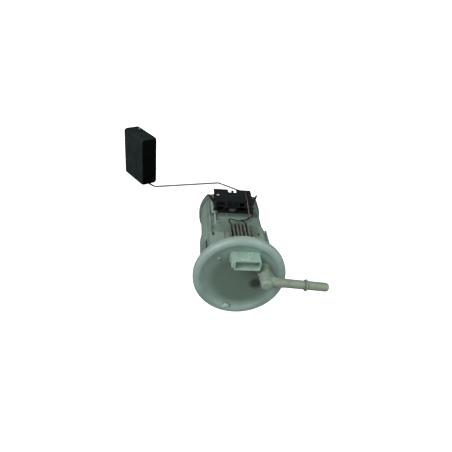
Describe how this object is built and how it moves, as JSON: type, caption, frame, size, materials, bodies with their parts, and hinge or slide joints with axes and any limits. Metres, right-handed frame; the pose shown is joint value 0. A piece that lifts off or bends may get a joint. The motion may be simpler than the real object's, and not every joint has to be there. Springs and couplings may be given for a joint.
{
  "type": "fuel pump module",
  "caption": "In-tank fuel pump module: flanged cover with plug socket and hose spigot, D-shaped case with pump, filter and regulator, and a level sender with a float on a wire arm.",
  "frame": {"origin": "centre of the flange, in the plane of its sealing face", "axes": "+Z points out of the tank along the flange axis; the level sender is on the -Y side, the hose spigot points to -X and the float arm to +X"},
  "size_m": [0.2213, 0.1486, 0.1853],
  "materials": {
    "flange_plastic": "satin",
    "outlet_plastic": "satin",
    "connector_plastic": "satin",
    "case_plastic": "satin",
    "manifold_plastic": "matte",
    "valve_plastic": "matte",
    "seal_rubber": "matte",
    "spring_steel": "satin",
    "sheet_steel": "satin",
    "pump_plastic": "satin",
    "cast_aluminium": "matte",
    "impeller_plastic": "matte",
    "armature_steel": "satin",
    "copper_wire": "satin",
    "magnet_ferrite": "matte",
    "filter_media": "matte",
    "strainer_mesh": "matte",
    "comb_plastic": "satin",
    "terminal_tin": "satin",
    "sender_plastic": "satin",
    "button_plastic": "satin",
    "card_ceramic": "matte",
    "track_metal": "satin",
    "hub_plastic": "satin",
    "arm_steel": "satin",
    "float_foam": "matte",
    "red_insulation": "satin",
    "black_insulation": "satin"
  },
  "bodies": {
    "module": {"flange_cover": "flange_plastic", "flange_seal": "seal_rubber", "connector_housing": "connector_plastic", "connector_blades": "terminal_tin", "outlet_elbow": "outlet_plastic", "upper_case": "case_plastic", "lower_case": "case_plastic", "end_cap": "case_plastic", "manifold": "manifold_plastic", "check_valve_spring": "spring_steel", "check_valve_retainer": "valve_plastic", "nipple_seal": "seal_rubber", "regulator_can": "sheet_steel", "regulator_spring": "spring_steel", "regulator_oring": "seal_rubber", "regulator_clip": "spring_steel", "pump_casing": "sheet_steel", "pump_outlet_cover": "pump_plastic", "pump_inlet_cover": "cast_aluminium", "chamber_plate": "cast_aluminium", "pump_magnets": "magnet_ferrite", "pump_isolator": "seal_rubber", "filter_element": "filter_media", "suction_strainer": "strainer_mesh", "terminal_comb": "comb_plastic", "comb_terminals": "terminal_tin", "sender_frame": "sender_plastic", "sender_cover": "sender_plastic", "base_button": "button_plastic", "resistor_card": "card_ceramic", "card_tracks": "track_metal", "sender_clips": "terminal_tin", "red_lead": "red_insulation", "black_lead": "black_insulation"},
    "arm": {"float_arm": "arm_steel", "arm_hub": "hub_plastic", "contact_wiper": "track_metal", "float_clip": "spring_steel"},
    "float": {"foam_float": "float_foam"},
    "rotor": {"armature": "armature_steel", "armature_windings": "copper_wire", "impeller": "impeller_plastic"},
    "check_valve": {"check_valve_poppet": "valve_plastic"},
    "regulator_plate": {"regulator_valve": "track_metal"}
  },
  "joints": [
    {"name": "arm_swing", "type": "hinge", "parent": "module", "child": "arm", "pos_m": [-0.011, -0.0356, -0.1045], "axis": [0, 1, 0], "range_deg": [-46, 22]},
    {"name": "float_turn", "type": "hinge", "parent": "arm", "child": "float", "pos_m": [0.1149, -0.0672, -0.1347], "axis": [0, -1, 0], "continuous": true},
    {"name": "rotor_spin", "type": "hinge", "parent": "module", "child": "rotor", "pos_m": [0.0017, 0, -0.09], "axis": [0, 0, 1], "continuous": true},
    {"name": "check_valve_lift", "type": "slide", "parent": "module", "child": "check_valve", "axis": [0, 0, 1], "range_m": [0, 0.0025], "stiffness_N_per_m": 80, "springref_m": -0.002, "deforming": ["check_valve_spring"]},
    {"name": "regulator_lift", "type": "slide", "parent": "module", "child": "regulator_plate", "axis": [0, 0, 1], "range_m": [0, 0.0012], "stiffness_N_per_m": 400, "springref_m": -0.002, "deforming": ["regulator_spring"]}
  ]
}
